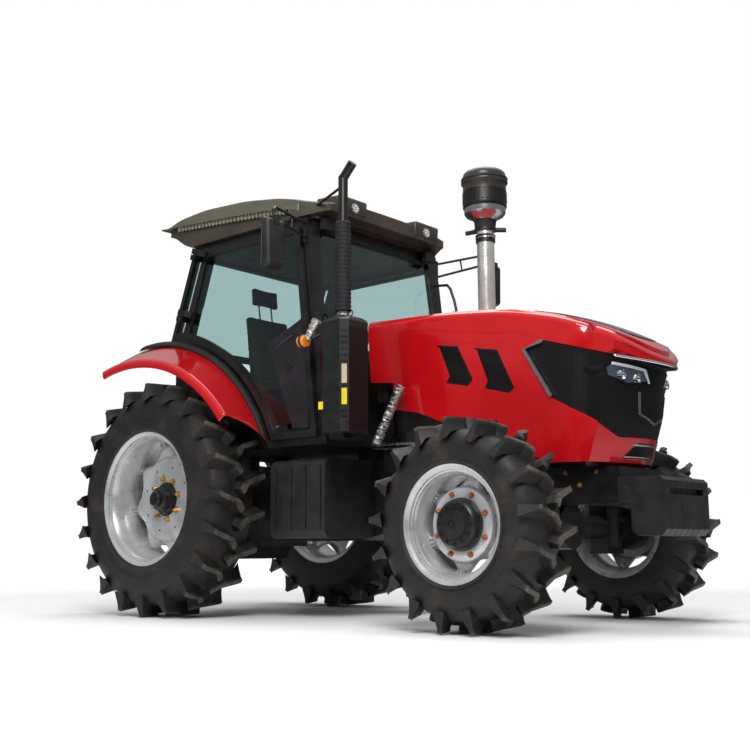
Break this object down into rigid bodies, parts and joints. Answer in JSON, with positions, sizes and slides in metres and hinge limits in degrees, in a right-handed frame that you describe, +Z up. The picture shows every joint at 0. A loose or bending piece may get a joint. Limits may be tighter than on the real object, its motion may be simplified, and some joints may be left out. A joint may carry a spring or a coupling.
{
  "type": "farm tractor",
  "caption": "Four-wheel-drive farm tractor with a glazed cab, tall hood with side vents, air-intake stack, guarded muffler, front weights and rear hitch.",
  "frame": {"origin": "on the ground, midway along the machine, on its centre plane", "axes": "+X forward, +Y to the driver's left, +Z up"},
  "size_m": [4.94, 2.8, 3.2121],
  "materials": {
    "red_paint": "gloss",
    "black_paint": "satin",
    "engine_paint": "satin",
    "silver_paint": "satin",
    "roof_plastic": "semi-gloss",
    "black_plastic": "matte",
    "tinted_glass": "tinted, polished",
    "tyre_rubber": "matte",
    "polished_steel": "polished",
    "chrome_plate": "polished",
    "lamp_glass": "clear, polished",
    "seat_fabric": "woven"
  },
  "bodies": {
    "chassis": {"front_frame": "black_paint", "engine_block": "engine_paint", "transmission_housing": "black_paint", "rear_axle_housing": "black_paint", "front_axle": "black_paint", "front_weights": "black_paint", "fuel_tank": "black_plastic", "cab_steps": "black_paint", "cab_frame": "black_paint", "windscreen": "tinted_glass", "corner_glass": "tinted_glass", "cab_tub": "black_plastic", "cab_mounts": "black_paint", "door_hinges": "black_paint", "rear_window_hinges": "black_paint", "cab_roof": "roof_plastic", "seat_base": "black_plastic", "seat_cushion": "seat_fabric", "dashboard": "black_plastic", "steering_wheel": "black_plastic", "fenders": "red_paint", "muffler": "black_paint", "exhaust_pipe": "black_paint", "mirrors": "black_plastic", "drawbar": "black_paint", "pto_shaft": "polished_steel", "hood_support": "black_paint", "work_lamps": "black_plastic"},
    "hood": {"hood": "red_paint", "nose_mask": "black_plastic", "hood_vents": "black_plastic", "intake_stack": "chrome_plate", "precleaner": "chrome_plate", "headlights": "lamp_glass"},
    "door_right": {"door_right": "black_paint", "door_glass_right": "tinted_glass"},
    "door_left": {"door_left": "black_paint", "door_glass_left": "tinted_glass"},
    "rear_window": {"rear_window": "tinted_glass"},
    "knuckle_right": {"knuckle_right": "black_paint"},
    "knuckle_left": {"knuckle_left": "black_paint"},
    "steering_rod": {"steering_rod": "polished_steel"},
    "rear_wheel_right": {"wheel_rear_right": "silver_paint", "tyre_rear_right": "tyre_rubber"},
    "rear_wheel_left": {"wheel_rear_left": "silver_paint", "tyre_rear_left": "tyre_rubber"},
    "front_wheel_right": {"wheel_front_right": "silver_paint", "tyre_front_right": "tyre_rubber"},
    "front_wheel_left": {"wheel_front_left": "silver_paint", "tyre_front_left": "tyre_rubber"},
    "lift_arms": {"lift_arms": "black_paint"},
    "lift_rod_right": {"lift_rod_right": "black_paint"},
    "lift_rod_left": {"lift_rod_left": "black_paint"},
    "lower_link_right": {"lower_link_right": "black_paint"},
    "lower_link_left": {"lower_link_left": "black_paint"},
    "top_link": {"top_link": "black_paint"}
  },
  "joints": [
    {"name": "rear_wheel_right_spin", "type": "hinge", "parent": "chassis", "child": "rear_wheel_right", "pos_m": [-1.32, -0.966, 0.878], "axis": [0, 1, 0], "continuous": true},
    {"name": "rear_wheel_left_spin", "type": "hinge", "parent": "chassis", "child": "rear_wheel_left", "pos_m": [-1.32, 0.966, 0.878], "axis": [0, 1, 0], "continuous": true},
    {"name": "steer_right", "type": "hinge", "parent": "chassis", "child": "knuckle_right", "pos_m": [1.534, -0.72, 0.633], "axis": [0, 0, 1], "range_deg": [-35, 35]},
    {"name": "steer_left", "type": "hinge", "parent": "chassis", "child": "knuckle_left", "pos_m": [1.534, 0.72, 0.633], "axis": [0, 0, 1], "range_deg": [-35, 35]},
    {"name": "steering_rod_slide", "type": "slide", "parent": "chassis", "child": "steering_rod", "axis": [0, 1, 0], "range_m": [-0.11, 0.11]},
    {"name": "front_wheel_right_spin", "type": "hinge", "parent": "knuckle_right", "child": "front_wheel_right", "pos_m": [1.534, -0.968, 0.633], "axis": [0, 1, 0], "continuous": true},
    {"name": "front_wheel_left_spin", "type": "hinge", "parent": "knuckle_left", "child": "front_wheel_left", "pos_m": [1.534, 0.968, 0.633], "axis": [0, 1, 0], "continuous": true},
    {"name": "door_right_hinge", "type": "hinge", "parent": "chassis", "child": "door_right", "pos_m": [-1.32038, -0.88, 2.32011], "axis": [-0.3174, 0, -0.9483], "range_deg": [0, 75]},
    {"name": "door_left_hinge", "type": "hinge", "parent": "chassis", "child": "door_left", "pos_m": [-1.32038, 0.88, 2.32011], "axis": [0.3174, 0, 0.9483], "range_deg": [0, 75]},
    {"name": "hood_hinge", "type": "hinge", "parent": "chassis", "child": "hood", "pos_m": [0.32, 0, 2.075], "axis": [0, -1, 0], "range_deg": [0, 30]},
    {"name": "rear_window_hinge", "type": "hinge", "parent": "chassis", "child": "rear_window", "pos_m": [-1.3324, 0, 2.872], "axis": [0, 1, 0], "range_deg": [0, 45]},
    {"name": "lift_arms_turn", "type": "hinge", "parent": "chassis", "child": "lift_arms", "pos_m": [-1.5, 0, 1.13], "axis": [0, 1, 0], "range_deg": [-31, 47]},
    {"name": "lower_link_right_lift", "type": "hinge", "parent": "chassis", "child": "lower_link_right", "pos_m": [-1.38, -0.3, 0.48], "axis": [0, 1, 0], "range_deg": [-20, 30]},
    {"name": "lower_link_left_lift", "type": "hinge", "parent": "chassis", "child": "lower_link_left", "pos_m": [-1.38, 0.3, 0.48], "axis": [0, 1, 0], "range_deg": [-20, 30]},
    {"name": "lift_rod_right_swing", "type": "hinge", "parent": "lift_arms", "child": "lift_rod_right", "pos_m": [-1.84, -0.45, 1.2], "axis": [0, 1, 0], "range_deg": [-45, 30]},
    {"name": "lift_rod_left_swing", "type": "hinge", "parent": "lift_arms", "child": "lift_rod_left", "pos_m": [-1.84, 0.45, 1.2], "axis": [0, 1, 0], "range_deg": [-45, 30]},
    {"name": "top_link_pivot", "type": "hinge", "parent": "chassis", "child": "top_link", "pos_m": [-1.692, 0, 0.9], "axis": [0, 1, 0], "range_deg": [-40, 45]}
  ],
  "couplings": [
    {"joint": "steer_left", "follows": "steer_right", "ratio": 1},
    {"joint": "steering_rod_slide", "follows": "steer_right", "m_per_rad": -0.178},
    {"joint": "lower_link_right_lift", "follows": "lift_arms_turn", "ratio": 0.63},
    {"joint": "lower_link_left_lift", "follows": "lift_arms_turn", "ratio": 0.63},
    {"joint": "lift_rod_right_swing", "follows": "lift_arms_turn", "ratio": -0.95},
    {"joint": "lift_rod_left_swing", "follows": "lift_arms_turn", "ratio": -0.95}
  ]
}
